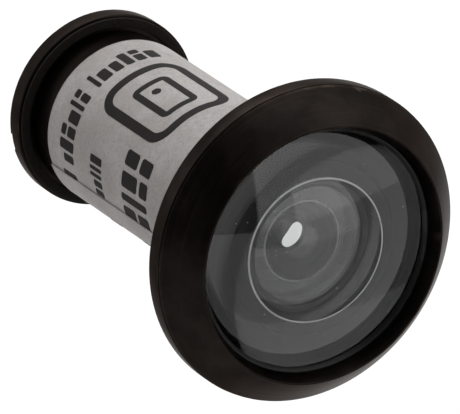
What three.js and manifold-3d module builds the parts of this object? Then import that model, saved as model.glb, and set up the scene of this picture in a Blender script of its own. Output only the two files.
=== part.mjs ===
// Door viewer: a wide-angle optical peephole in two screwed barrels.
// Millimetres. The optical axis is Y: the outdoor side looks along -Y, the room side lies at +Y,
// and Z is up. y = 0 is the back of the front flange, the face that lies against the door.

import * as THREE from 'three';
import { mergeVertices } from 'three/addons/utils/BufferGeometryUtils.js';
import Module from 'manifold-3d';

const wasm = await Module();
wasm.setup();

// ---------------------------------------------------------------- driving dimensions

const FLANGE_R = 17.5;          // front flange
const RIM_Y = -2.0;             // front edge of its cylindrical rim
const LIP_R = 14.07;            // mouth of the bezel
const LIP_Y = -6.0;             // how far the mouth stands off the door
const BOSS_R = 15.0;            // collar that carries the bezel's thread
const BOSS_Y = -3.7;
const POCKET_R = 13.3;          // pocket for the objective
const POCKET_Y = -2.6;          // floor of the pocket

const TUBE_R = 9.05;            // outer barrel
const TUBE_END_Y = 40.9;
const BORE_R = 8.25;
const CELL_SEAT_R = 9.2;        // counterbore for the lens cell's collar
const CELL_SEAT_Y = -0.55;

const REAR_R = 10.8;            // rear flange
const REAR_FACE_Y = 41.0;
const REAR_RIM_Y = 42.95;
const REAR_BACK_Y = 43.35;
const INNER_ROOT_R = 7.4;       // inner barrel, at the root of its thread
const INNER_BORE_R = 5.8;
const INNER_FRONT_Y = 18.6;
const EYE_SEAT_R = 6.62;        // pocket for the eyepiece
const EYE_SEAT_Y = 37.5;

const PITCH = 1.5;              // barrel thread
const MALE_CREST_R = 8.0;
const FEMALE_CREST_R = 7.65;
const MALE_SPAN = [19.3, 38.8];
const FEMALE_SPAN = [34.3, 40.3];

const SLOT_WIDTH = 2.1;         // coin slot across the rear flange
const SLOT_FLOOR_Y = 42.5;
const SLOT_ANGLE = -102;        // degrees about +Y, counted from +Z

const LABEL_R = 9.09;           // inside of the paper label
const LABEL_T = 0.12;
const LABEL_SPAN = [2.2, 37.25];
const LABEL_SEAM = -130;
const LABEL_OVERLAP = 24;

const DOME_R = 30;              // objective: a dome outside, a shallow bowl inside
const DOME_EDGE_R = 13.2;
const DOME_EDGE_Y = -3.75;
const OBJECTIVE_BACK_Y = -3.1;
const BOWL_R = 7.5;
const BOWL_DEPTH = 2.31;

const SECOND_FRONT_R = 52.5;    // second lens: nearly flat in front, a bowl behind
const SECOND_APEX_Y = -2.56;
const SECOND_BACK_Y = 0.75;
const SECOND_BOWL_R = 4.55;
const SECOND_BOWL_DEPTH = 2.46;
const SECOND_RIM_R = 7.2;

const THIRD_APEX_Y = 11.76;     // third lens: convex on both sides
const THIRD_FRONT_R = 26.9;
const THIRD_BACK_R = 7.18;
const THIRD_THICKNESS = 4.93;
const THIRD_RIM_R = 6.3;

const CELL_R = 8.13;            // tube that carries the second and third lenses
const CELL_FRONT_Y = -2.7;
const CELL_END_Y = 17.7;
const STOP_R = 5.5;             // opening of the stop between the second and third lenses

const EYE_FRONT_R = 24.2;       // eyepiece: convex on both sides
const EYE_BACK_R = 12.5;
const EYE_APEX_Y = 37.7;
const EYE_THICKNESS = 3.55;
const EYE_RIM_R = 6.55;
const EYE_OPENING_R = 4.95;

// ---------------------------------------------------------------- finishes

const finish = (color, roughness, metalness) => ({ color, roughness, metalness });
const BLACK_METAL = finish(0x1b1613, 0.38, 0.85);
const BLACK_INNER = finish(0x101010, 0.6, 0.3);
const RUBBER = finish(0x141414, 0.85, 0);
const FIBRE = finish(0x1d1a18, 0.8, 0);
const GLASS = finish(0xdfe8ea, 0.03, 0);
const PAPER = finish(0xb9b2ae, 0.7, 0);

const group = new THREE.Group();
group.name = 'door_viewer';

function add(name, geometry, look) {
  const mesh = new THREE.Mesh(geometry, new THREE.MeshStandardMaterial(look));
  mesh.name = name;
  group.add(mesh);
}

// ---------------------------------------------------------------- turned shapes

// A solid of revolution from [r, y] points. A ring's outline is closed here, and a lens's outline
// starts and ends on the axis.
function turned(outline, segments) {
  const onAxis = outline[0][0] === 0;
  const points = onAxis ? outline : [...outline, outline[0]];
  let area = 0;
  points.forEach(([r, y], i) => {
    const [r2, y2] = points[(i + 1) % points.length];
    area += r * y2 - r2 * y;
  });
  const wound = area > 0 ? points : [...points].reverse();
  return new THREE.LatheGeometry(wound.map(([r, y]) => new THREE.Vector2(r, y)), segments);
}

// Points on a spherical face whose apex is at yApex, from radius r0 to r1. A positive radius of
// curvature bends the face towards +Y away from the apex.
function sphere(yApex, curvature, r0, r1, steps) {
  return Array.from({ length: steps + 1 }, (_, i) => {
    const r = r0 + (r1 - r0) * i / steps;
    return [r, yApex + Math.sign(curvature) * sag(Math.abs(curvature), r)];
  });
}

const sag = (curvature, r) => curvature - Math.sqrt(curvature ** 2 - r ** 2);

const bowlCurvature = (r, depth) => (r * r + depth * depth) / (2 * depth);

const bowl = (r, depth, mouthY) => sphere(mouthY - depth, bowlCurvature(r, depth), 0, r, 6);

// A lens from its two faces, each listed from the axis outwards, with a ground rim between them.
function lens(front, back, rimR) {
  const [frontR, frontY] = front.at(-1);
  const [backR, backY] = back.at(-1);
  return turned([
    ...front, [rimR, frontY + rimR - frontR], [rimR, backY - rimR + backR], ...back.reverse(),
  ], 52);
}

// ---------------------------------------------------------------- solids to cut and join

function solid(geometry) {
  const bare = new THREE.BufferGeometry();
  bare.setAttribute('position', geometry.getAttribute('position'));
  if (geometry.index) bare.setIndex(geometry.index);
  const welded = mergeVertices(bare, 1e-5);
  const index = Array.from(welded.index.array);
  const kept = [];
  for (let i = 0; i < index.length; i += 3) {
    const [a, b, c] = index.slice(i, i + 3);
    if (a !== b && b !== c && c !== a) kept.push(a, b, c);
  }
  return new wasm.Manifold(new wasm.Mesh({
    numProp: 3,
    vertProperties: new Float32Array(welded.getAttribute('position').array),
    triVerts: new Uint32Array(kept),
  }));
}

function surface(manifold) {
  const mesh = manifold.getMesh();
  const geometry = new THREE.BufferGeometry();
  geometry.setAttribute('position', new THREE.BufferAttribute(new Float32Array(mesh.vertProperties), 3));
  geometry.setIndex(new THREE.BufferAttribute(new Uint32Array(mesh.triVerts), 1));
  geometry.computeVertexNormals();
  return geometry;
}

// A helical ridge about the Y axis, right-handed. Its root sinks into the wall it stands on, and
// it runs out to nothing over half a turn at each end.
function ridge({ rootR, crestR, sink, rootHalf, crestHalf, span, phase }) {
  const perTurn = 30;
  const turns = (span[1] - span[0]) / PITCH;
  const steps = Math.round(turns * perTurn);
  const position = [];
  for (let i = 0; i <= steps; i++) {
    const t = i / perTurn;
    const grown = Math.max(0.04, Math.min(1, t * 2, (steps - i) / perTurn * 2));
    const top = rootR + (crestR - rootR) * grown;
    const half = rootHalf + (crestHalf - rootHalf) * grown;
    const a = 2 * Math.PI * t;
    const y = span[0] + PITCH * t;
    const base = rootR - Math.sign(crestR - rootR) * sink;
    for (const [r, dy] of [[base, -rootHalf], [base, rootHalf], [top, half], [top, -half]]) {
      position.push(r * Math.sin(a + phase), y + dy, r * Math.cos(a + phase));
    }
  }
  const outward = crestR > rootR;
  const index = [];
  const quad = (a, b, c, d) => (outward ? index.push(a, b, c, a, c, d) : index.push(a, c, b, a, d, c));
  for (let i = 0; i < steps; i++) {
    for (let k = 0; k < 4; k++) {
      const a = 4 * i + k;
      const b = 4 * i + (k + 1) % 4;
      quad(a, b, b + 4, a + 4);
    }
  }
  quad(3, 2, 1, 0);
  const e = 4 * steps;
  quad(e, e + 1, e + 2, e + 3);
  const geometry = new THREE.BufferGeometry();
  geometry.setAttribute('position', new THREE.BufferAttribute(new Float32Array(position), 3));
  geometry.setIndex(index);
  return solid(geometry);
}

function block(width, yLow, yHigh, length, degrees) {
  const box = new THREE.BoxGeometry(width, yHigh - yLow, length);
  box.translate(0, (yLow + yHigh) / 2, 0);
  box.rotateY(THREE.MathUtils.degToRad(degrees));
  return solid(box);
}

// Where each ridge starts round the axis. The female one lies half a pitch off the male one, so
// their flanks keep the same running gap on both sides.
const MALE_PHASE = 0;
const FEMALE_PHASE = 2 * Math.PI * ((FEMALE_SPAN[0] - MALE_SPAN[0] - PITCH / 2) / PITCH);

// ---------------------------------------------------------------- front half

const outerBody = solid(turned([
  [FLANGE_R - 0.15, 0], [FLANGE_R, -0.15], [FLANGE_R, RIM_Y + 0.08], [FLANGE_R - 0.08, RIM_Y],
  [BOSS_R, RIM_Y], [BOSS_R, BOSS_Y], [POCKET_R, BOSS_Y], [POCKET_R, POCKET_Y],
  [CELL_SEAT_R, POCKET_Y], [CELL_SEAT_R, CELL_SEAT_Y], [BORE_R, CELL_SEAT_Y],
  [BORE_R, TUBE_END_Y - 0.3], [BORE_R + 0.25, TUBE_END_Y],
  [TUBE_R - 0.15, TUBE_END_Y], [TUBE_R, TUBE_END_Y - 0.15], [TUBE_R, 0],
], 60));
const femaleThread = ridge({
  rootR: BORE_R, crestR: FEMALE_CREST_R, sink: 0.2, rootHalf: 0.42, crestHalf: 0.18,
  span: FEMALE_SPAN, phase: FEMALE_PHASE,
});
add('outer_barrel', surface(outerBody.add(femaleThread)), BLACK_METAL);

add('front_bezel', turned([
  [15.08, RIM_Y - 0.07], [FLANGE_R - 0.12, RIM_Y - 0.07], [FLANGE_R - 0.05, RIM_Y - 0.14],
  [LIP_R + 0.2, LIP_Y], [LIP_R, LIP_Y], [LIP_R - 0.08, LIP_Y + 0.08], [13.36, -4.5], [15.08, -4.5],
], 72), BLACK_METAL);

add('objective_retaining_ring', turned([
  [12.96, -3.93], [13.32, -4.38], [14.9, -4.42], [14.9, -3.78], [13.3, -3.78],
], 64), BLACK_INNER);

const domeApexY = DOME_EDGE_Y - sag(DOME_R, DOME_EDGE_R);
add('objective_lens', lens(
  sphere(domeApexY, DOME_R, 0, DOME_EDGE_R, 7),
  [...bowl(BOWL_R, BOWL_DEPTH, OBJECTIVE_BACK_Y), [DOME_EDGE_R - 0.15, OBJECTIVE_BACK_Y]],
  DOME_EDGE_R,
), GLASS);

add('objective_gasket', turned([
  [11.2, OBJECTIVE_BACK_Y + 0.05], [13.1, OBJECTIVE_BACK_Y + 0.05],
  [13.1, POCKET_Y - 0.05], [11.2, POCKET_Y - 0.05],
], 48), RUBBER);

// ---------------------------------------------------------------- lens cell

const collarBackY = CELL_SEAT_Y - 0.45;
const secondSeatY = SECOND_BACK_Y + 0.1;
const stopSeatY = secondSeatY + 5.7;
const thirdSeatY = THIRD_APEX_Y + sag(THIRD_FRONT_R, 6.1) - 0.03;
add('lens_cell', turned([
  [7.5, CELL_FRONT_Y], [9.05, CELL_FRONT_Y], [9.05, collarBackY], [CELL_R, collarBackY],
  [CELL_R, CELL_END_Y - 0.2], [CELL_R - 0.2, CELL_END_Y],
  [6.45, CELL_END_Y], [6.45, thirdSeatY], [6.1, thirdSeatY], [6.1, stopSeatY], [6.6, stopSeatY],
  [6.6, secondSeatY], [7.35, secondSeatY], [7.35, CELL_FRONT_Y + 0.15],
], 56), BLACK_INNER);

add('cell_gasket', turned([
  [8.4, collarBackY + 0.05], [9.0, collarBackY + 0.05],
  [9.0, CELL_SEAT_Y - 0.05], [8.4, CELL_SEAT_Y - 0.05],
], 48), RUBBER);

add('cell_front_ring', turned([
  [6.72, -2.22], [7.27, -2.12], [7.27, -2.75], [7.0, -2.75], [6.72, -2.5],
], 48), BLACK_INNER);

add('second_lens', lens(
  sphere(SECOND_APEX_Y, SECOND_FRONT_R, 0, SECOND_RIM_R - 0.12, 5),
  [...bowl(SECOND_BOWL_R, SECOND_BOWL_DEPTH, SECOND_BACK_Y), [SECOND_RIM_R - 0.12, SECOND_BACK_Y]],
  SECOND_RIM_R,
), GLASS);

add('aperture_stop', turned([
  [STOP_R, stopSeatY - 0.5], [6.45, stopSeatY - 0.8], [6.45, stopSeatY - 0.05], [5.7, stopSeatY - 0.05],
], 48), BLACK_INNER);

const thirdBackY = THIRD_APEX_Y + THIRD_THICKNESS;
add('third_lens', lens(
  sphere(THIRD_APEX_Y, THIRD_FRONT_R, 0, THIRD_RIM_R - 0.1, 5),
  sphere(thirdBackY, -THIRD_BACK_R, 0, THIRD_RIM_R - 0.1, 5),
  THIRD_RIM_R,
), GLASS);

const thirdEdgeY = thirdBackY - sag(THIRD_BACK_R, 6.0);
add('cell_rear_ring', turned([
  [6.0, thirdEdgeY + 0.08], [6.38, thirdEdgeY], [6.38, thirdBackY + 0.6], [6.2, thirdBackY + 0.6],
  [6.0, thirdBackY + 0.4],
], 48), BLACK_INNER);

// ---------------------------------------------------------------- paper label

// The sheet goes once round the barrel and its end lies over its start.
const labelOutline = (radius) => {
  const total = 360 + LABEL_OVERLAP;
  const steps = 72;
  return Array.from({ length: steps + 1 }, (_, i) => {
    const turn = total * i / steps;
    const lift = Math.max(0, Math.min(1, (turn - 346) / 12)) * (LABEL_T + 0.05);
    const a = THREE.MathUtils.degToRad(LABEL_SEAM - 4 + turn);
    return new THREE.Vector2((radius + lift) * Math.sin(a), -(radius + lift) * Math.cos(a));
  });
};
const label = new THREE.ExtrudeGeometry(
  new THREE.Shape([...labelOutline(LABEL_R + LABEL_T), ...labelOutline(LABEL_R).reverse()]),
  { depth: LABEL_SPAN[1] - LABEL_SPAN[0], bevelEnabled: false, steps: 1 },
);
label.rotateX(-Math.PI / 2);
label.translate(0, LABEL_SPAN[0], 0);
add('barrel_label', label, PAPER);

// ---------------------------------------------------------------- rear half

add('door_washer', turned([
  [9.5, 40.65], [10.5, 40.65], [10.5, 40.95], [9.5, 40.95],
], 56), FIBRE);

const threadedTube = solid(turned([
  [INNER_BORE_R, INNER_FRONT_Y], [INNER_ROOT_R - 0.15, INNER_FRONT_Y],
  [INNER_ROOT_R, INNER_FRONT_Y + 0.15], [INNER_ROOT_R, MALE_SPAN[1] + 1.2],
  [INNER_BORE_R, MALE_SPAN[1] + 1.2],
], 30));
const eyePocket = solid(turned([
  [0, EYE_SEAT_Y - 0.2], [EYE_SEAT_R + 0.3, EYE_SEAT_Y - 0.2], [EYE_SEAT_R + 0.3, REAR_BACK_Y],
  [0, REAR_BACK_Y],
], 30));
const rearHead = solid(turned([
  [INNER_BORE_R - 0.05, EYE_SEAT_Y - 0.4], [INNER_ROOT_R - 0.1, EYE_SEAT_Y - 0.4],
  [INNER_ROOT_R - 0.1, MALE_SPAN[1] + 1], [INNER_ROOT_R, MALE_SPAN[1] + 1],
  [INNER_ROOT_R, REAR_FACE_Y], [REAR_R - 0.12, REAR_FACE_Y], [REAR_R, REAR_FACE_Y + 0.12],
  [REAR_R, REAR_RIM_Y - 0.15], [REAR_R - 0.2, REAR_RIM_Y], [9.2, REAR_BACK_Y - 0.12],
  [7.4, REAR_BACK_Y], [7.1, REAR_BACK_Y], [EYE_SEAT_R, REAR_BACK_Y - 0.55],
  [EYE_SEAT_R, EYE_SEAT_Y], [INNER_BORE_R - 0.05, EYE_SEAT_Y],
], 60));
const innerBody = threadedTube.subtract(eyePocket).add(rearHead);
const maleThread = ridge({
  rootR: INNER_ROOT_R, crestR: MALE_CREST_R, sink: 0.2, rootHalf: 0.45, crestHalf: 0.22,
  span: MALE_SPAN, phase: MALE_PHASE,
});
const coinSlot = block(SLOT_WIDTH, SLOT_FLOOR_Y, REAR_BACK_Y + 1, 30, SLOT_ANGLE);
add('inner_barrel', surface(innerBody.add(maleThread).subtract(coinSlot)), BLACK_METAL);

const eyeBackY = EYE_APEX_Y + EYE_THICKNESS;
add('eyepiece_lens', lens(
  sphere(EYE_APEX_Y, EYE_FRONT_R, 0, EYE_RIM_R - 0.1, 5),
  sphere(eyeBackY, -EYE_BACK_R, 0, EYE_RIM_R - 0.1, 5),
  EYE_RIM_R,
), GLASS);

const sealTopY = EYE_APEX_Y + sag(EYE_FRONT_R, 5.95) - 0.1;
add('eyepiece_seal', turned([
  [5.95, EYE_SEAT_Y + 0.05], [6.57, EYE_SEAT_Y + 0.05], [6.57, sealTopY + 0.2], [5.95, sealTopY],
], 48), RUBBER);

const eyeEdgeY = eyeBackY - sag(EYE_BACK_R, EYE_RIM_R - 0.1);
const ringFrontY = eyeBackY - sag(EYE_BACK_R, EYE_OPENING_R) + 0.12;
const spannerSlot = block(1.0, 42.0, 44, 20, 40);
add('eyepiece_retaining_ring', surface(solid(turned([
  [EYE_OPENING_R, ringFrontY], [6.57, eyeEdgeY + 0.1], [6.57, 42.35], [6.0, 42.35],
  [EYE_OPENING_R, 41.6],
], 56)).subtract(spannerSlot)), BLACK_INNER);

export default group;
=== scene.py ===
# Door viewer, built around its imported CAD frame. The optical axis is Y: the outdoor lens looks
# along -Y, the room side lies at +Y, Z is up, and y = 0 is the back of the front flange.
# Outlines are in millimetres, as [radius, y] pairs about the axis, and meshes are in metres.

import math
import random

import bmesh
import bpy
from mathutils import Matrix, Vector, noise


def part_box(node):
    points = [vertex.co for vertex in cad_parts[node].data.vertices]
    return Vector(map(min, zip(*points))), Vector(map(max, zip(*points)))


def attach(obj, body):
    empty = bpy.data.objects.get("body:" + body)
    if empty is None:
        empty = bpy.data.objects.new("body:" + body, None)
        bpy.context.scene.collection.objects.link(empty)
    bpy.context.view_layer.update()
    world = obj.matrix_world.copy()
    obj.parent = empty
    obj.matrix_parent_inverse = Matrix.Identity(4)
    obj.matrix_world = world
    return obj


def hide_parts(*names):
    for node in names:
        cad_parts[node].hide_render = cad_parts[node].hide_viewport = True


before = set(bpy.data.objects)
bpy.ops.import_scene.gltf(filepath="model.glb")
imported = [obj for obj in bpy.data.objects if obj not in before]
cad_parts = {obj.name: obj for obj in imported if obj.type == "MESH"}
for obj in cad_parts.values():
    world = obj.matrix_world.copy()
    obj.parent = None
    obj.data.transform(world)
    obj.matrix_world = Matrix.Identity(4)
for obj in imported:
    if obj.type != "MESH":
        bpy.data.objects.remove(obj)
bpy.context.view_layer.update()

MM = 0.001
SEGMENTS = 192                      # columns of every turned surface
scene = bpy.context.scene


# ------------------------------------------------------------------ sizes taken from the frame

def reach(node):
    """A turned node's outer radius and its two ends along the axis, in millimetres."""
    low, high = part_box(node)
    return high[0] / MM, low[1] / MM, high[1] / MM


FLANGE_R, BOSS_Y, TUBE_END_Y = reach("outer_barrel")
_, LIP_Y, BEZEL_BACK_Y = reach("front_bezel")
RIM_Y = BEZEL_BACK_Y + 0.07
OBJECTIVE_R, DOME_APEX_Y, OBJECTIVE_BACK_Y = reach("objective_lens")
GASKET_R, GASKET_Y, GASKET_BACK_Y = reach("objective_gasket")
COLLAR_R, CELL_FRONT_Y, CELL_END_Y = reach("lens_cell")
SECOND_R, SECOND_APEX_Y, SECOND_BACK_Y = reach("second_lens")
THIRD_R, THIRD_APEX_Y, THIRD_BACK_Y = reach("third_lens")
_, LABEL_Y, LABEL_END_Y = reach("barrel_label")
WASHER_R, WASHER_Y, WASHER_BACK_Y = reach("door_washer")
REAR_R, INNER_FRONT_Y, REAR_BACK_Y = reach("inner_barrel")
EYE_R, EYE_APEX_Y, EYE_BACK_Y = reach("eyepiece_lens")

# ------------------------------------------------------------------ sizes of the design

LIP_R = 14.07                       # mouth of the bezel
BOSS_R = 15.0
BEZEL_MOUTH_R, BEZEL_SHELF_Y = 13.36, -4.5
POCKET_R, POCKET_Y = 13.3, -2.6
GASKET_BORE_R = 11.2
TUBE_R, BORE_R = 9.05, 8.25
CELL_SEAT_R, CELL_SEAT_Y = 9.2, -0.55
REAR_FACE_Y, REAR_RIM_Y = 41.0, 42.95
INNER_ROOT_R, INNER_BORE_R = 7.4, 5.8
EYE_SEAT_R, EYE_SEAT_Y, EYE_OPENING_R = 6.62, 37.5, 4.95

PITCH = 1.5
MALE_CREST_R, FEMALE_CREST_R = 8.0, 7.65
MALE_SPAN = (19.3, 38.8)
FEMALE_SPAN = (34.3, 40.3)

SLOT_WIDTH, SLOT_FLOOR_Y, SLOT_ANGLE = 2.1, 42.5, -102

LABEL_R, LABEL_T = 9.09, 0.12
LABEL_SEAM, LABEL_OVERLAP = -130, 24

DOME_R = 30
BOWL_R, BOWL_DEPTH = 7.5, 2.31
SECOND_FRONT_R, SECOND_BOWL_R, SECOND_BOWL_DEPTH = 52.5, 4.55, 2.46
THIRD_FRONT_R, THIRD_SURFACE_R = 26.9, 7.18
THIRD_CLEAR_R = 5.0                 # inside the third lens's blackened border
EYE_FRONT_R, EYE_SURFACE_R = 24.2, 12.5
CELL_R, STOP_R = 8.13, 5.5
CELL_MOUTH_R, CELL_SECOND_R, CELL_THIRD_R, CELL_BORE_R = 7.35, 6.6, 6.45, 6.1
WASHER_BORE_R = 9.5
BEVEL, BEVEL_WIDTH = 0.11, 0.18     # depth and width of the bevel round the mouth of a lens's bowl


# ------------------------------------------------------------------ outlines

def filleted(corners, steps=5):
    """Turns [r, y] or [r, y, fillet radius] corners of a closed outline into points with arcs."""
    points = []
    count = len(corners)
    for i, corner in enumerate(corners):
        here = Vector(corner[:2])
        if len(corner) < 3:
            points.append(tuple(here))
            continue
        before = (Vector(corners[i - 1][:2]) - here).normalized()
        after = (Vector(corners[(i + 1) % count][:2]) - here).normalized()
        half = before.angle(after) / 2
        reach_along = corner[2] / math.tan(half)
        centre = here + (before + after).normalized() * (corner[2] / math.sin(half))
        start, end = here + before * reach_along - centre, here + after * reach_along - centre
        turn = start.angle_signed(end)
        for k in range(steps + 1):
            a = -turn * k / steps
            x = start.x * math.cos(a) - start.y * math.sin(a)
            y = start.x * math.sin(a) + start.y * math.cos(a)
            points.append((centre.x + x, centre.y + y))
    return points


def sag(curvature, r):
    """How far a spherical face falls away from its apex at radius r."""
    return curvature - math.sqrt(curvature ** 2 - r ** 2)


def sphere(apex_y, curvature, r0, r1, steps=28):
    """Points on a spherical face. A positive radius of curvature bends it towards +Y."""
    points = []
    for i in range(steps + 1):
        r = r0 + (r1 - r0) * i / steps
        points.append((r, apex_y + math.copysign(sag(abs(curvature), r), curvature)))
    return points


def bowl(r, depth, mouth_y):
    return sphere(mouth_y - depth, (r * r + depth * depth) / (2 * depth), 0, r)


def crowned(start, end, sagitta, steps=14):
    """Points between two corners along an arc that stands out of the straight line by sagitta."""
    a, b = Vector(start), Vector(end)
    along = b - a
    out = Vector((-along.y, along.x)).normalized()
    return [tuple(a + along * t + out * (sagitta * 4 * t * (1 - t)))
            for t in (i / steps for i in range(1, steps))]


# ------------------------------------------------------------------ meshes

def on_axis(r, y, degrees):
    """The point at radius r and height y along the axis, turned from +Z towards +X."""
    a = math.radians(degrees)
    return Vector((r * math.sin(a), y, r * math.cos(a))) * MM


def revolve(bm, outline, closed=True):
    """Adds the surface swept by an outline about the axis."""
    rings = []
    for r, y in outline:
        if r < 1e-6:
            rings.append([bm.verts.new(on_axis(0, y, 0))])
        else:
            rings.append([bm.verts.new(on_axis(r, y, 360 * k / SEGMENTS)) for k in range(SEGMENTS)])
    pairs = list(zip(rings, rings[1:] + rings[:1] if closed else rings[1:]))
    for a, b in pairs:
        if len(a) == 1 and len(b) == 1:
            continue
        for k in range(SEGMENTS):
            corners = [a[k % len(a)], a[(k + 1) % len(a)], b[(k + 1) % len(b)], b[k % len(b)]]
            bm.faces.new(list(dict.fromkeys(corners)))


def thread(bm, low_y, high_y, root_r, crest_r, span, centre_y, half_root, half_crest):
    """Adds a wall from low_y to high_y that carries a right-handed helical ridge over span."""
    offsets = (-PITCH / 2, -half_root, -half_crest, half_crest, half_root)
    first = math.floor((low_y - centre_y) / PITCH) - 1
    turns = math.ceil((high_y - low_y) / PITCH) + 3
    columns = []
    for k in range(SEGMENTS + 1):
        degrees = 360 * k / SEGMENTS
        column = []
        for turn in range(turns):
            for offset in offsets:
                y = centre_y + PITCH * (first + turn + degrees / 360) + offset
                y = min(max(y, low_y), high_y)
                grown = min(1, max(0, min(y - span[0], span[1] - y) / PITCH + 0.1))
                ridge = half_crest >= abs(offset)
                r = root_r + (crest_r - root_r) * grown * ridge
                if y in (low_y, high_y):
                    r = root_r
                column.append(bm.verts.new(on_axis(r, y, degrees)))
        columns.append(column)
    for a, b in zip(columns, columns[1:]):
        for i in range(len(a) - 1):
            bm.faces.new((a[i], b[i], b[i + 1], a[i + 1]))


def finished(name, bm, material, body, replaced=None, crease=28):
    """Closes the mesh, smooths it up to the crease angle and hands it to the frame."""
    bmesh.ops.remove_doubles(bm, verts=bm.verts[:], dist=2e-8)
    bmesh.ops.dissolve_degenerate(bm, dist=1e-8, edges=bm.edges[:])
    bmesh.ops.recalc_face_normals(bm, faces=bm.faces[:])
    mesh = bpy.data.meshes.new(name)
    bm.to_mesh(mesh)
    bm.free()
    mesh.shade_smooth()
    mesh.set_sharp_from_angle(angle=math.radians(crease))
    piece = bpy.data.objects.new(name, mesh)
    scene.collection.objects.link(piece)
    for one in material if isinstance(material, (list, tuple)) else [material]:
        mesh.materials.append(one)
    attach(piece, body)
    if replaced:
        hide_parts(replaced)
    return piece


def turned(name, outline, material, body, replaced, crease=28):
    bm = bmesh.new()
    revolve(bm, outline, closed=outline[0][0] > 1e-6)
    return finished(name, bm, material, body, replaced, crease)


def cut(piece, cutter_corners, degrees):
    """Cuts a straight channel across the axis. The corners give its section as [across, y]."""
    bm = bmesh.new()
    half_length = 16
    a = math.radians(degrees)
    along = Vector((math.sin(a), 0, math.cos(a)))
    across = Vector((math.cos(a), 0, -math.sin(a)))
    ends = []
    for side in (-half_length, half_length):
        ends.append([bm.verts.new((along * side + across * u + Vector((0, y, 0))) * MM)
                     for u, y in cutter_corners])
    bm.faces.new(ends[0])
    bm.faces.new(ends[1][::-1])
    for i in range(len(cutter_corners)):
        j = (i + 1) % len(cutter_corners)
        bm.faces.new((ends[0][i], ends[1][i], ends[1][j], ends[0][j]))
    bmesh.ops.recalc_face_normals(bm, faces=bm.faces[:])
    mesh = bpy.data.meshes.new("channel")
    bm.to_mesh(mesh)
    bm.free()
    cutter = bpy.data.objects.new("channel", mesh)
    scene.collection.objects.link(cutter)
    boolean = piece.modifiers.new("channel", "BOOLEAN")
    boolean.operation, boolean.solver, boolean.object = "DIFFERENCE", "EXACT", cutter
    bpy.context.view_layer.update()
    evaluated = piece.evaluated_get(bpy.context.evaluated_depsgraph_get())
    result = bpy.data.meshes.new_from_object(evaluated)
    piece.modifiers.clear()
    piece.data = result
    result.set_sharp_from_angle(angle=math.radians(28))
    bpy.data.objects.remove(cutter)
    bpy.data.meshes.remove(mesh)


# ------------------------------------------------------------------ material nodes

def smooth_ramp(tree, value, low, high, out_low, out_high):
    """Adds a node that eases from one output to the other while value goes from low to high."""
    made = tree.nodes.new("ShaderNodeMapRange")
    made.interpolation_type = "SMOOTHSTEP"
    tree.links.new(value, made.inputs["Value"])
    for key, number in zip(("From Min", "From Max", "To Min", "To Max"),
                           (low, high, out_low, out_high)):
        made.inputs[key].default_value = number
    return made.outputs[0]


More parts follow.
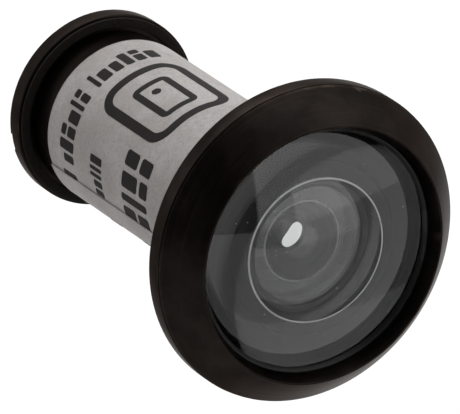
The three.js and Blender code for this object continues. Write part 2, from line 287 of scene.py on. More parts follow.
class Shader:
    """A material under construction. Every method adds one node and returns its output."""

    def __init__(self, name):
        self.material = bpy.data.materials.new(name)
        self.material.use_nodes = True
        self.tree = self.material.node_tree
        self.tree.nodes.clear()
        self.out = self.tree.nodes.new("ShaderNodeOutputMaterial")
        where = self.tree.nodes.new("ShaderNodeTexCoord").outputs["Object"]
        self.mm = self.vector("SCALE", where, scale=1 / MM)
        parts = self.add("ShaderNodeSeparateXYZ", Vector=self.mm)
        self.x, self.y, self.z = parts.outputs
        flat = self.add("ShaderNodeCombineXYZ", X=self.x, Z=self.z).outputs[0]
        self.r = self.vector("LENGTH", flat)
        unit = self.vector("NORMALIZE", flat)
        split = self.add("ShaderNodeSeparateXYZ", Vector=unit)
        self.ux, self.uz = split.outputs[0], split.outputs[2]

    def add(self, kind, **sockets):
        made = self.tree.nodes.new(kind)
        for key, value in sockets.items():
            self.set(made, key.replace("_", " "), value)
        return made

    def set(self, made, key, value):
        socket = made.inputs[key]
        if isinstance(value, bpy.types.NodeSocket):
            self.tree.links.new(value, socket)
        else:
            socket.default_value = value

    def vector(self, operation, a, b=None, scale=None):
        made = self.tree.nodes.new("ShaderNodeVectorMath")
        made.operation = operation
        self.set(made, 0, a)
        if b is not None:
            self.set(made, 1, b)
        if scale is not None:
            made.inputs["Scale"].default_value = scale
        return made.outputs["Value" if operation in ("LENGTH", "DOT_PRODUCT") else "Vector"]

    def math(self, operation, a, b):
        made = self.tree.nodes.new("ShaderNodeMath")
        made.operation = operation
        self.set(made, 0, a)
        self.set(made, 1, b)
        return made.outputs[0]

    def noise(self, scale, detail=4, rough=0.55, stretch=(1, 1, 1), distortion=0):
        """Noise in millimetres, stretched by the given factors."""
        place = self.vector("MULTIPLY", self.mm, stretch)
        made = self.add("ShaderNodeTexNoise", Vector=place, Scale=scale, Detail=detail,
                        Roughness=rough, Distortion=distortion)
        return made.outputs["Fac"]

    def turned_lines(self, across, around, detail=3):
        """Noise drawn out round the axis, as a lathe leaves it: fine across, long around."""
        u = self.math("MULTIPLY", self.r, across)
        v = self.math("MULTIPLY", self.y, across)
        w = self.math("MULTIPLY", self.ux, around)
        made = self.tree.nodes.new("ShaderNodeTexNoise")
        made.noise_dimensions = "4D"
        place = self.add("ShaderNodeCombineXYZ", X=u, Y=v, Z=w).outputs[0]
        self.set(made, "Vector", place)
        self.set(made, "W", self.math("MULTIPLY", self.uz, around))
        self.set(made, "Scale", 1.0)
        self.set(made, "Detail", detail)
        self.set(made, "Roughness", 0.6)
        return made.outputs["Fac"]

    def ramp(self, value, low, high, out_low=0.0, out_high=1.0):
        return smooth_ramp(self.tree, value, low, high, out_low, out_high)

    def mix(self, factor, a, b):
        made = self.tree.nodes.new("ShaderNodeMix")
        made.data_type = "RGBA"
        for index, value in ((0, factor), (6, a), (7, b)):
            self.set(made, index, (*value, 1) if isinstance(value, tuple) else value)
        return made.outputs[2]

    def bump(self, height, distance):
        """Bump whose full height is distance, in millimetres."""
        made = self.add("ShaderNodeBump", Height=height, Strength=1.0, Distance=distance * MM)
        return made.outputs[0]

    def edges(self):
        """1 on convex edges, where a finish rubs off."""
        return self.ramp(self.add("ShaderNodeNewGeometry").outputs["Pointiness"], 0.52, 0.6)

    def principled(self, **sockets):
        made = self.add("ShaderNodeBsdfPrincipled", **sockets)
        self.tree.links.new(made.outputs[0], self.out.inputs["Surface"])
        return made


# ------------------------------------------------------------------ materials

def blackened_metal():
    s = Shader("blackened_metal")
    cloud = s.noise(0.22, detail=5)
    lines = s.turned_lines(5.0, 1.6)
    fine = s.turned_lines(22.0, 3.0, detail=2)
    grain = s.noise(14, detail=3)
    tone = s.mix(s.ramp(cloud, 0.35, 0.7), (0.0120, 0.0099, 0.0090), (0.0220, 0.0178, 0.0158))
    tone = s.mix(s.ramp(lines, 0.55, 0.75, 0, 0.5), tone, (0.036, 0.0285, 0.0245))
    rubbed = s.math("MULTIPLY", s.edges(), s.ramp(s.noise(1.1), 0.35, 0.65, 0.2, 0.4))
    tone = s.mix(rubbed, tone, (0.110, 0.083, 0.064))
    rough = s.math("ADD", s.ramp(lines, 0.3, 0.7, 0.30, 0.40), s.ramp(grain, 0.3, 0.7, -0.03, 0.05))
    height = s.math("ADD", s.math("MULTIPLY", fine, 0.6), s.math("MULTIPLY", grain, 0.4))
    around = s.tree.nodes.new("ShaderNodeTangent")
    around.direction_type, around.axis = "RADIAL", "Y"
    s.principled(Base_Color=tone, Metallic=1.0, Roughness=rough, Anisotropic=0.35,
                 Specular_Tint=(0.55, 0.53, 0.52, 1), Normal=s.bump(height, 0.004),
                 Tangent=around.outputs[0])
    return s.material


def anodised(name, dark, light, roughness, shine=0.3):
    s = Shader(name)
    lines = s.turned_lines(9.0, 2.0)
    grain = s.noise(20, detail=2)
    tone = s.mix(s.ramp(lines, 0.35, 0.7), dark, light)
    worn = tuple(part * 4 for part in light)
    tone = s.mix(s.math("MULTIPLY", s.edges(), 0.4), tone, worn)
    rough = s.ramp(grain, 0.3, 0.7, roughness - 0.05, roughness + 0.08)
    s.principled(Base_Color=tone, Metallic=0.0, Roughness=rough, Specular_IOR_Level=shine,
                 Normal=s.bump(s.math("ADD", lines, grain), 0.003))
    return s.material


def flat_black_paint():
    """Dead black inside the barrels, so that no glare reaches the eye."""
    s = Shader("flat_black_paint")
    grain = s.noise(5, detail=3)
    tone = s.mix(s.ramp(grain, 0.35, 0.7), (0.0022, 0.0022, 0.0022), (0.0042, 0.0041, 0.0040))
    s.principled(Base_Color=tone, Roughness=s.ramp(grain, 0.3, 0.7, 0.85, 1.0),
                 Specular_IOR_Level=0.02, Normal=s.bump(grain, 0.002))
    return s.material


def frosted_glass():
    """Fine-ground glass where a lens's bowl is bevelled, which catches the light as a thin line."""
    s = Shader("frosted_lens_bevel")
    grain = s.noise(24, detail=2)
    tone = s.mix(s.ramp(grain, 0.35, 0.65), (0.88, 0.89, 0.89), (0.95, 0.96, 0.96))
    s.principled(Base_Color=tone, Roughness=s.ramp(grain, 0.3, 0.7, 0.45, 0.65),
                 Normal=s.bump(grain, 0.006))
    return s.material


def optical_glass():
    """Clear crown glass with a few specks of dust."""
    s = Shader("optical_glass")
    cells = s.add("ShaderNodeTexVoronoi", Vector=s.mm, Scale=0.5)
    speck = s.ramp(cells.outputs["Distance"], 0.018, 0.034, 1.0, 0.0)
    tint = s.mix(s.ramp(s.noise(0.2), 0.3, 0.7), (0.975, 0.985, 0.985), (1.0, 1.0, 1.0))
    tint = s.mix(speck, tint, (0.55, 0.54, 0.52))
    made = s.principled(Base_Color=tint, Roughness=s.math("MULTIPLY", speck, 0.6), IOR=1.52)
    made.inputs["Transmission Weight"].default_value = 1.0
    return s.material


def ground_glass():
    """The blackened, ground rim of a lens."""
    s = Shader("ground_lens_rim")
    grain = s.noise(30, detail=2)
    tone = s.mix(s.ramp(grain, 0.35, 0.65), (0.008, 0.008, 0.008), (0.035, 0.034, 0.033))
    s.principled(Base_Color=tone, Roughness=s.ramp(grain, 0.3, 0.7, 0.55, 0.8),
                 Normal=s.bump(grain, 0.01))
    return s.material


def rubber():
    s = Shader("black_rubber")
    grain = s.noise(9, detail=5, rough=0.7)
    tone = s.mix(s.ramp(grain, 0.35, 0.65), (0.0030, 0.0030, 0.0030), (0.0060, 0.0058, 0.0058))
    s.principled(Base_Color=tone, Roughness=s.ramp(grain, 0.3, 0.7, 0.85, 1.0),
                 Specular_IOR_Level=0.02, Normal=s.bump(grain, 0.003))
    return s.material


def fibre():
    s = Shader("vulcanised_fibre")
    strands = s.noise(3, detail=5, rough=0.7, stretch=(1, 4, 1), distortion=0.6)
    tone = s.mix(s.ramp(strands, 0.35, 0.7), (0.0080, 0.0064, 0.0055), (0.0200, 0.0158, 0.0130))
    s.principled(Base_Color=tone, Roughness=s.ramp(strands, 0.3, 0.7, 0.7, 0.9),
                 Specular_IOR_Level=0.12, Normal=s.bump(strands, 0.008))
    return s.material


def label_paper():
    s = Shader("label_paper")
    blotch = s.noise(0.16, detail=4, distortion=0.8)
    fibres = s.noise(2.6, detail=6, rough=0.72, distortion=1.2)
    speck = s.noise(9, detail=2, rough=0.8)
    tone = s.mix(s.ramp(blotch, 0.35, 0.68), (0.300, 0.277, 0.266), (0.365, 0.350, 0.342))
    tone = s.mix(s.ramp(fibres, 0.40, 0.72, 0, 0.7), tone, (0.215, 0.196, 0.190))
    tone = s.mix(s.ramp(speck, 0.58, 0.72, 0, 0.5), tone, (0.46, 0.44, 0.43))
    ends = s.math("MINIMUM", s.math("SUBTRACT", s.y, LABEL_Y), s.math("SUBTRACT", LABEL_END_Y, s.y))
    tone = s.mix(s.ramp(ends, 0.0, 0.5, 0.35, 0.0), tone, (0.18, 0.16, 0.15))
    height = s.math("ADD", fibres, s.math("MULTIPLY", speck, 0.4))
    s.principled(Base_Color=tone, Roughness=s.ramp(fibres, 0.3, 0.7, 0.62, 0.8),
                 Specular_IOR_Level=0.35, Normal=s.bump(height, 0.012))
    return s.material


def label_ink():
    s = Shader("label_ink")
    wear = s.noise(4.5, detail=5, rough=0.75)
    tone = s.mix(s.ramp(wear, 0.55, 0.78), (0.008, 0.006, 0.0055), (0.050, 0.042, 0.038))
    s.principled(Base_Color=tone, Roughness=s.ramp(wear, 0.3, 0.7, 0.6, 0.8),
                 Specular_IOR_Level=0.15, Normal=s.bump(wear, 0.006))
    return s.material


METAL = blackened_metal()
RING = anodised("black_anodised_ring", (0.006, 0.006, 0.006), (0.014, 0.0135, 0.013), 0.38)
CELL = anodised("black_anodised_cell", (0.0025, 0.0025, 0.0025), (0.0055, 0.0055, 0.0053), 0.75,
                shine=0.05)
GLASS = optical_glass()
RIM = ground_glass()
FROST = frosted_glass()
PAINT = flat_black_paint()
RUBBER = rubber()
FIBRE = fibre()
PAPER = label_paper()
INK = label_ink()


# ------------------------------------------------------------------ zones of a turned piece

def faces_between(piece, low_r, high_r=math.inf, low_y=-math.inf, high_y=math.inf):
    """The faces of a turned piece whose middles lie between two radii and two heights, in mm."""
    for face in piece.data.polygons:
        x, y, z = (part / MM for part in face.center)
        if low_r < math.hypot(x, z) < high_r and low_y < y < high_y:
            yield face


def coat(piece, *zone):
    """Gives a zone of a piece its second material."""
    for face in faces_between(piece, *zone):
        face.material_index = 1


# ------------------------------------------------------------------ front half

def outer_barrel():
    """The front flange and the tube in one turning, threaded inside at its far end."""
    bm = bmesh.new()
    thread_low, thread_high = FEMALE_SPAN[0] - PITCH, TUBE_END_Y - 0.3
    corners = [
        (BORE_R, thread_high), (BORE_R + 0.25, TUBE_END_Y, 0.05), (TUBE_R, TUBE_END_Y, 0.12),
        (TUBE_R, 0),
        (FLANGE_R, 0, 0.2), (FLANGE_R, RIM_Y, 0.12), (BOSS_R, RIM_Y), (BOSS_R, BOSS_Y, 0.1),
        (POCKET_R, BOSS_Y, 0.1), (POCKET_R, POCKET_Y), (CELL_SEAT_R, POCKET_Y, 0.1),
        (CELL_SEAT_R, CELL_SEAT_Y), (BORE_R, CELL_SEAT_Y, 0.1), (BORE_R, thread_low),
    ]
    revolve(bm, filleted(corners), closed=False)
    thread(bm, thread_low, thread_high, BORE_R, FEMALE_CREST_R, FEMALE_SPAN,
           centre_y=FEMALE_SPAN[0] - PITCH / 2, half_root=0.42, half_crest=0.18)
    piece = finished("barrel_with_front_flange", bm, [METAL, PAINT], "front", "outer_barrel")
    coat(piece, 0, POCKET_R + 0.05, BOSS_Y + 0.15, -0.1)
    coat(piece, 0, TUBE_R - 0.3, BOSS_Y + 0.15, TUBE_END_Y - 0.4)
    return piece


def front_bezel():
    """A nearly straight cone with a crisp edge at its foot and a narrow land round its mouth."""
    lip_out = (LIP_R + 0.2, LIP_Y + 0.02)
    rim_out = (FLANGE_R - 0.05, RIM_Y - 0.16)
    face = crowned(lip_out, rim_out, -0.05)
    corners = [
        (BOSS_R + 0.08, RIM_Y - 0.07), (FLANGE_R - 0.12, RIM_Y - 0.07, 0.03), rim_out, *face[::-1],
        lip_out, (LIP_R, LIP_Y, 0.06), (BEZEL_MOUTH_R, BEZEL_SHELF_Y, 0.05),
        (BOSS_R + 0.08, BEZEL_SHELF_Y),
    ]
    return turned("front_bezel_ring", filleted(corners), METAL, "front", "front_bezel")


def objective_retaining_ring():
    corners = [(12.96, -3.93, 0.03), (13.32, -4.38, 0.05), (14.9, -4.42, 0.05), (14.9, -3.78),
               (13.3, -3.78)]
    return turned("objective_lock_ring", filleted(corners), RING, "front",
                  "objective_retaining_ring")


def objective_gasket():
    corners = [(GASKET_BORE_R, GASKET_Y, 0.12), (GASKET_R, GASKET_Y, 0.12),
               (GASKET_R, GASKET_BACK_Y, 0.12), (GASKET_BORE_R, GASKET_BACK_Y, 0.12)]
    return turned("objective_rubber_ring", filleted(corners), RUBBER, "front",
                  "objective_gasket")


def lens(name, front, back, rim_r, body, replaced, mouth_r=None):
    """A lens from its two faces, each from the axis outwards, with a bevelled, ground rim.

    A bowl ground into the back has its mouth at mouth_r, where a narrow bevel is left frosted."""
    front_r, front_y = front[-1]
    back_r, back_y = back[-1]
    rim = [(rim_r, front_y + rim_r - front_r), (rim_r, back_y - rim_r + back_r)]
    piece = turned(name, [*front, *rim, *back[::-1]], [GLASS, RIM, FROST], body, replaced,
                   crease=12)
    for face in faces_between(piece, min(front_r, back_r)):
        if abs(face.normal.y) < 0.85:               # the rim is the only steep part out here
            face.material_index = 1
    if mouth_r:
        for face in faces_between(piece, mouth_r, mouth_r + BEVEL_WIDTH):
            if 0.2 < abs(face.normal.y) < 0.96:     # sloping, so neither rim nor flat
                face.material_index = 2
    return piece


def bowled_back(r, depth, mouth_y, edge_r):
    """The back face of a lens: a bowl, the bevel round its mouth, and a flat out to the edge."""
    return [*bowl(r, depth, mouth_y - BEVEL), (r + BEVEL_WIDTH, mouth_y), (edge_r, mouth_y)]


def objective_lens():
    back = bowled_back(BOWL_R, BOWL_DEPTH - BEVEL, OBJECTIVE_BACK_Y, OBJECTIVE_R - 0.15)
    return lens("objective_glass", sphere(DOME_APEX_Y, DOME_R, 0, OBJECTIVE_R, 48), back,
                OBJECTIVE_R, "front", "objective_lens", BOWL_R)


# ------------------------------------------------------------------ lens cell

COLLAR_BACK_Y = CELL_SEAT_Y - 0.45
SECOND_SEAT_Y = SECOND_BACK_Y + 0.1
STOP_SEAT_Y = SECOND_SEAT_Y + 5.7
THIRD_SEAT_Y = THIRD_APEX_Y + sag(THIRD_FRONT_R, CELL_BORE_R) - 0.03


def lens_cell():
    corners = [
        (7.5, CELL_FRONT_Y, 0.05), (COLLAR_R, CELL_FRONT_Y, 0.12), (COLLAR_R, COLLAR_BACK_Y, 0.05),
        (CELL_R, COLLAR_BACK_Y), (CELL_R, CELL_END_Y, 0.2), (CELL_THIRD_R, CELL_END_Y, 0.1),
        (CELL_THIRD_R, THIRD_SEAT_Y), (CELL_BORE_R, THIRD_SEAT_Y, 0.05),
        (CELL_BORE_R, STOP_SEAT_Y, 0.05), (CELL_SECOND_R, STOP_SEAT_Y),
        (CELL_SECOND_R, SECOND_SEAT_Y, 0.05), (CELL_MOUTH_R, SECOND_SEAT_Y),
        (CELL_MOUTH_R, CELL_FRONT_Y + 0.15),
    ]
    return turned("lens_cell_tube", filleted(corners), CELL, "front", "lens_cell")


def cell_gasket():
    low, high = COLLAR_BACK_Y + 0.05, CELL_SEAT_Y - 0.05
    corners = [(8.4, low, 0.1), (9.0, low, 0.1), (9.0, high, 0.1), (8.4, high, 0.1)]
    return turned("cell_rubber_ring", filleted(corners), RUBBER, "front", "cell_gasket")


def cell_front_ring():
    corners = [(6.72, -2.22, 0.03), (7.27, -2.12, 0.03), (7.27, -2.75, 0.05), (7.0, -2.75, 0.04),
               (6.72, -2.5, 0.04)]
    return turned("second_lens_lock_ring", filleted(corners), RING, "front",
                  "cell_front_ring")


def second_lens():
    edge_r = SECOND_R - 0.12
    back = bowled_back(SECOND_BOWL_R, SECOND_BOWL_DEPTH - BEVEL, SECOND_BACK_Y, edge_r)
    return lens("second_glass", sphere(SECOND_APEX_Y, SECOND_FRONT_R, 0, edge_r), back,
                SECOND_R, "front", "second_lens", SECOND_BOWL_R)


def aperture_stop():
    y = STOP_SEAT_Y
    corners = [(STOP_R, y - 0.5, 0.02), (6.45, y - 0.8, 0.05), (6.45, y - 0.05, 0.05),
               (5.7, y - 0.05)]
    return turned("glare_stop", filleted(corners), CELL, "front", "aperture_stop")


def third_lens():
    """Its border is blackened, which keeps light from passing outside the stop's useful opening."""
    edge_r = THIRD_R - 0.1
    piece = lens("third_glass", sphere(THIRD_APEX_Y, THIRD_FRONT_R, 0, edge_r),
                 sphere(THIRD_BACK_Y, -THIRD_SURFACE_R, 0, edge_r), THIRD_R, "front", "third_lens")
    coat(piece, THIRD_CLEAR_R)
    return piece


def cell_rear_ring():
    y, edge_y = THIRD_BACK_Y, THIRD_BACK_Y - sag(THIRD_SURFACE_R, 6.0)
    corners = [(6.0, edge_y + 0.08, 0.03), (6.38, edge_y, 0.03), (6.38, y + 0.6, 0.05),
               (6.2, y + 0.6, 0.05), (6.0, y + 0.4, 0.05)]
    return turned("third_lens_lock_ring", filleted(corners), RING, "front",
                  "cell_rear_ring")


# ------------------------------------------------------------------ label

def label_surface(degrees):
    """Radius of the sheet's inside at an angle counted from the seam's start, lap included."""
    lap = min(1, max(0, (degrees - 346) / 12))
    return LABEL_R + lap * lap * (3 - 2 * lap) * (LABEL_T + 0.05)


def wrapped(degrees, y, height):
    """A point on the label, height above the sheet's inside; degrees counts from its first edge."""
    return on_axis(label_surface(degrees) + height, y, LABEL_SEAM - 4 + degrees)


def barrel_label():
    """One sheet round the barrel with its end lapped over its start, and slightly uneven edges."""
    bm = bmesh.new()
    around, along = 256, 60
    total = 360 + LABEL_OVERLAP
    sides = []
    for height in (0, LABEL_T):
        grid = []
        for i in range(around + 1):
            degrees = total * i / around
            column = []
            for j in range(along + 1):
                t = j / along
                y = LABEL_Y + (LABEL_END_Y - LABEL_Y) * t
                place = Vector((degrees * 0.08, y * 0.25, 3.0))
                uneven = noise.noise(place * 3) * 0.012 if height else 0
                edge = (abs(t - 0.5) * 2) ** 40 * noise.noise(Vector((degrees * 0.15, t, 8))) * 0.05
                bend = noise.noise(Vector((y * 0.4, 1.5, i == 0))) * 0.35 if i in (0, around) else 0
                column.append(bm.verts.new(wrapped(degrees + bend, min(y - abs(edge), LABEL_END_Y),
                                                   height + uneven)))
            grid.append(column)
        sides.append(grid)
    inside, outside = sides
    for grid in sides:
        for a, b in zip(grid, grid[1:]):
            for j in range(along):
                bm.faces.new((a[j], b[j], b[j + 1], a[j + 1]))
    for i in range(around):
        for j in (0, along):
            bm.faces.new((inside[i][j], inside[i + 1][j], outside[i + 1][j], outside[i][j]))
    for i in (0, around):
        for j in range(along):
            bm.faces.new((inside[i][j], inside[i][j + 1], outside[i][j + 1], outside[i][j]))
    return finished("paper_label", bm, PAPER, "front", "barrel_label")


def around_mm(length):
    """The angle in degrees that a length round the label takes."""
    return math.degrees(length / (LABEL_R + LABEL_T))


def patch(bm, rows, ring=False):
    """Adds a printed shape, as a thin closed skin on the label, from rows of [across mm, y] points.

    Across is measured round the barrel from its top. A ring's last row joins its first."""
    levels = []
    for height in (LABEL_T - 0.02, LABEL_T + 0.035):
        levels.append([[bm.verts.new(wrapped((around_mm(u) - LABEL_SEAM + 4) % 360, y, height))
                        for u, y in row] for row in rows])
    count, last = len(rows), len(rows[0]) - 1
    pairs = [(i, (i + 1) % count) for i in range(count if ring else count - 1)]
    low, high = levels
    for a, b in pairs:
        for grid in levels:
            for j in range(last):
                bm.faces.new((grid[a][j], grid[b][j], grid[b][j + 1], grid[a][j + 1]))
        for j in (0, last):
            bm.faces.new((low[a][j], low[b][j], high[b][j], high[a][j]))
    if not ring:
        for a in (0, count - 1):
            for j in range(last):
                bm.faces.new((low[a][j], low[a][j + 1], high[a][j + 1], high[a][j]))


def slab(bm, u, y, across, along, corner=0.2):
    """A printed block with rounded corners."""
    rows = []
    steps = max(4, math.ceil(across / 0.25))
    for i in range(steps + 1):
        v = across * (i / steps - 0.5)
        into = max(0, abs(v) - (across / 2 - corner))
        half = along / 2 - corner + math.sqrt(max(0, corner ** 2 - into ** 2))
        rows.append([(u + v, y - half), (u + v, y), (u + v, y + half)])
    patch(bm, rows)


def rounded_frame(bm, u, y, across, along, corner, stroke):
    """A printed frame with rounded corners."""
    corner = min(corner, across / 2 - 0.01, along / 2 - 0.01)
    path = []
    for sx, sy, start in ((1, 1, 0), (-1, 1, 90), (-1, -1, 180), (1, -1, 270)):
        for k in range(9):
            a = math.radians(start + 11.25 * k)
            path.append((sx * (across / 2 - corner), sy * (along / 2 - corner), a))
    rows = []
    for (cx, cy, a), (nx, ny, b) in zip(path, path[1:] + path[:1]):
        steps = max(1, math.ceil(math.hypot(nx - cx, ny - cy) / 0.3))
        for i in range(steps):
            t = i / steps
            mx, my = cx + (nx - cx) * t, cy + (ny - cy) * t
            rows.append([(u + mx + arm * math.cos(a), y + my + arm * math.sin(a))
                         for arm in (corner, corner - stroke / 2, corner - stroke)])
    patch(bm, rows, ring=True)


def text_blocks(bm, start, end, y, height, stroke, seed):
    """A row of plain blocks where a line of print would stand, grouped like words.

    Start and end are in mm round the barrel, and the row runs down from start."""
    rng = random.Random(seed)
    u, until_gap = start, rng.randint(3, 6)
    while u > end:
        kind = rng.choice(("bar", "block", "split", "split", "low"))
        width = stroke if kind == "bar" else height * rng.uniform(0.3, 0.46)
        middle = u - width / 2
        if kind == "split":
            part = height * rng.choice((0.3, 0.42, 0.55))
            slab(bm, middle, y - (height - part) / 2, width, part, stroke * 0.25)
            rest = height - part - stroke * 0.7
            slab(bm, middle, y + (height - rest) / 2, width, rest, stroke * 0.25)
        elif kind == "low":
            slab(bm, middle, y - height * 0.14, width, height * 0.72, stroke * 0.25)
        else:
            slab(bm, middle, y, width, height, stroke * 0.25)
        u -= width + stroke * 0.8
        until_gap -= 1
        if until_gap == 0:
            u -= stroke * 1.8
            until_gap = rng.randint(3, 6)


def label_print():
    """Generic print: a framed door pictogram and rows of plain blocks."""
    bm = bmesh.new()
    rounded_frame(bm, -3.12, 22.9, 10.6, 13.6, 2.6, 1.15)
    rounded_frame(bm, -3.12, 22.6, 4.6, 7.6, 0.9, 0.8)
    slab(bm, -3.3, 24.0, 1.1, 1.1, corner=0.5)
    text_blocks(bm, -10.1, -21.5, 18.2, 5.4, 0.85, seed=4)
    text_blocks(bm, -13.0, -21.5, 26.6, 2.4, 0.42, seed=7)
    text_blocks(bm, 1.6, -21.0, 33.0, 2.9, 0.5, seed=11)
    return finished("label_print", bm, INK, "front", crease=40)


# ------------------------------------------------------------------ rear half

def door_washer():
    corners = [(WASHER_BORE_R, WASHER_Y, 0.05), (WASHER_R, WASHER_Y, 0.08),
               (WASHER_R, WASHER_BACK_Y, 0.08), (WASHER_BORE_R, WASHER_BACK_Y, 0.05)]
    return turned("fibre_washer", filleted(corners), FIBRE, "washer", "door_washer")


def inner_barrel():
    """The threaded tube with the slotted rear flange that a coin turns."""
    bm = bmesh.new()
    thread_low, thread_high = MALE_SPAN[0] - 0.5, MALE_SPAN[1] + 1.2
    corners = [
        (INNER_ROOT_R, thread_high), (INNER_ROOT_R, REAR_FACE_Y, 0.1), (REAR_R, REAR_FACE_Y, 0.14),
        (REAR_R, REAR_RIM_Y - 0.05, 0.25), (9.2, REAR_BACK_Y - 0.12, 0.9), (7.6, REAR_BACK_Y, 0.4),
        (7.1, REAR_BACK_Y, 0.1), (EYE_SEAT_R, REAR_BACK_Y - 0.55, 0.1), (EYE_SEAT_R, EYE_SEAT_Y),
        (INNER_BORE_R, EYE_SEAT_Y, 0.05), (INNER_BORE_R, INNER_FRONT_Y, 0.15),
        (INNER_ROOT_R, INNER_FRONT_Y, 0.12), (INNER_ROOT_R, thread_low),
    ]
    revolve(bm, filleted(corners), closed=False)
    thread(bm, thread_low, thread_high, INNER_ROOT_R, MALE_CREST_R, MALE_SPAN,
           centre_y=MALE_SPAN[0], half_root=0.45, half_crest=0.22)
    piece = finished("inner_barrel_with_rear_flange", bm, METAL, "rear", "inner_barrel")
    half, chamfer = SLOT_WIDTH / 2, 0.12
    wide = half + chamfer + 0.6
    cut(piece, [(-half, SLOT_FLOOR_Y), (half, SLOT_FLOOR_Y), (half, REAR_BACK_Y - 0.25),
                (wide, REAR_BACK_Y + 0.6), (-wide, REAR_BACK_Y + 0.6), (-half, REAR_BACK_Y - 0.25)],
        SLOT_ANGLE)
    piece.data.materials.append(PAINT)
    coat(piece, 0, INNER_BORE_R + 0.1, -math.inf, EYE_SEAT_Y)
    return piece


def eyepiece_lens():
    edge_r = EYE_R - 0.1
    return lens("eyepiece_glass", sphere(EYE_APEX_Y, EYE_FRONT_R, 0, edge_r),
                sphere(EYE_BACK_Y, -EYE_SURFACE_R, 0, edge_r), EYE_R, "rear", "eyepiece_lens")


def eyepiece_seal():
    low, high = EYE_SEAT_Y + 0.05, EYE_APEX_Y + sag(EYE_FRONT_R, 5.95) - 0.1
    corners = [(5.95, low, 0.1), (6.57, low, 0.1), (6.57, high + 0.2, 0.1), (5.95, high, 0.1)]
    return turned("eyepiece_rubber_ring", filleted(corners), RUBBER, "rear", "eyepiece_seal")


def eyepiece_retaining_ring():
    front_y = EYE_BACK_Y - sag(EYE_SURFACE_R, EYE_OPENING_R) + 0.12
    edge_y = EYE_BACK_Y - sag(EYE_SURFACE_R, EYE_R - 0.1) + 0.1
    corners = [(EYE_OPENING_R, front_y, 0.05), (6.57, edge_y), (6.57, 42.35, 0.1),
               (6.0, 42.35, 0.15), (EYE_OPENING_R, 41.6, 0.15)]
    piece = turned("eyepiece_lock_ring", filleted(corners), RING, "rear",
                   "eyepiece_retaining_ring")
    cut(piece, [(-0.5, 42.0), (0.5, 42.0), (0.5, 43.0), (-0.5, 43.0)], 40)
    return piece


for build in (outer_barrel, front_bezel, objective_retaining_ring, objective_gasket, objective_lens,
              lens_cell, cell_gasket, cell_front_ring, second_lens, aperture_stop, third_lens,
              cell_rear_ring, barrel_label, label_print, door_washer, inner_barrel, eyepiece_lens,
              eyepiece_seal, eyepiece_retaining_ring):
    build()


# ------------------------------------------------------------------ studio

FLOOR_Z, FLOOR_HALF = -0.5, 4.0     # metres
TENT, ROOM = 1.15, 0.06             # strength of the tent and of the dark room in its opening
BEHIND = 0.7                        # how much of the tent's strength is left straight behind

CAMERA_AZIMUTH, CAMERA_ELEVATION = -29.34, 22.28
CAMERA_AIM = (-0.79, 12.5, -0.95)   # millimetres
CAMERA_DISTANCE = 1.0206            # metres
FOCAL_LENGTH, SENSOR_WIDTH = 759.6, 36


def floor():
    mesh = bpy.data.meshes.new("floor")
    half = FLOOR_HALF
    mesh.from_pydata([(-half, -half, FLOOR_Z), (half, -half, FLOOR_Z), (half, half, FLOOR_Z),
                      (-half, half, FLOOR_Z)], [], [(0, 1, 2, 3)])
    piece = bpy.data.objects.new("floor", mesh)
    scene.collection.objects.link(piece)
    s = Shader("floor_paper")
    tone = s.mix(s.noise(0.02, detail=3), (0.68, 0.68, 0.68), (0.72, 0.72, 0.72))
    s.principled(Base_Color=tone, Roughness=0.8, Specular_IOR_Level=0.2)
    mesh.materials.append(s.material)


def light(name, kind, place, aim, power, size):
    """Adds a lamp. Size is an area lamp's diameter in metres or a spot's cone in degrees."""
    data = bpy.data.lights.new(name, kind)
    data.energy = power
    if kind == "AREA":
        data.shape, data.size = "DISK", size
    else:
        data.shadow_soft_size, data.spot_size, data.spot_blend = 0.02, math.radians(size), 0.15
    lamp = bpy.data.objects.new(name, data)
    scene.collection.objects.link(lamp)
    lamp.location = place
    lamp.rotation_euler = (Vector(aim) - Vector(place)).to_track_quat("-Z", "Y").to_euler()


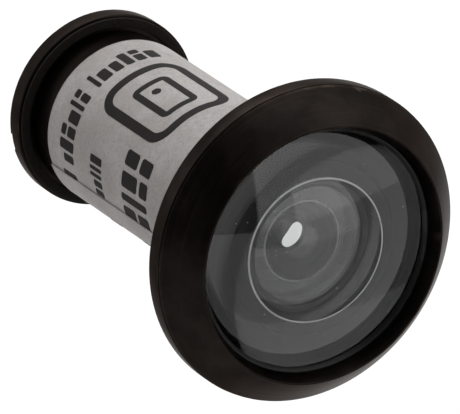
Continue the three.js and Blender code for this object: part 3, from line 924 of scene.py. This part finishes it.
def surround():
    """A white tent, dimmer straight behind and open to a dark room on the left in front."""
    world = bpy.data.worlds.new("studio")
    scene.world = world
    world.use_nodes = True
    tree = world.node_tree
    toward = tree.nodes.new("ShaderNodeTexCoord").outputs["Generated"]
    split = tree.nodes.new("ShaderNodeSeparateXYZ")
    tree.links.new(toward, split.inputs[0])

    def product(a, b):
        made = tree.nodes.new("ShaderNodeMath")
        made.operation = "MULTIPLY"
        tree.links.new(a, made.inputs[0])
        tree.links.new(b, made.inputs[1])
        return made.outputs[0]

    across, along, _ = split.outputs
    left = smooth_ramp(tree, across, -0.04, 0.0, 1, 0)
    ahead = smooth_ramp(tree, along, -0.35, 0.25, 1, 0)
    strength = smooth_ramp(tree, product(left, ahead), 0, 1, TENT, ROOM)
    strength = product(strength, smooth_ramp(tree, along, 0.75, 0.9, 1, BEHIND))
    background = tree.nodes["Background"]
    background.inputs["Color"].default_value = (1, 1, 1, 1)
    tree.links.new(strength, background.inputs["Strength"])


def studio():
    """The tent, a soft key above and behind, and spots that wash the floor."""
    surround()
    light("key", "AREA", (0.15, 0.45, 0.60), (0, 0.02, 0), 1.5, 0.45)
    light("wash_back", "SPOT", (0.6, 1.06, 1.3), (0.6, 1.06, -0.5), 80, 70)
    light("pool", "SPOT", (0.25, 0.10, 1.3), (0.25, 0.10, -0.5), 14, 31)


def camera():
    """A long lens from the front, to the left of the axis and above it."""
    azimuth, elevation = math.radians(CAMERA_AZIMUTH), math.radians(CAMERA_ELEVATION)
    back = Vector((math.sin(azimuth) * math.cos(elevation),
                   -math.cos(azimuth) * math.cos(elevation), math.sin(elevation)))
    aim = Vector(CAMERA_AIM) * MM
    data = bpy.data.cameras.new("camera")
    data.sensor_width, data.lens = SENSOR_WIDTH, FOCAL_LENGTH
    data.clip_start, data.clip_end = 0.05, 20
    piece = bpy.data.objects.new("camera", data)
    scene.collection.objects.link(piece)
    piece.location = aim + back * CAMERA_DISTANCE
    piece.rotation_euler = (-back).to_track_quat("-Z", "Y").to_euler()
    scene.camera = piece


floor()
studio()
camera()
scene.view_settings.view_transform = "Standard"
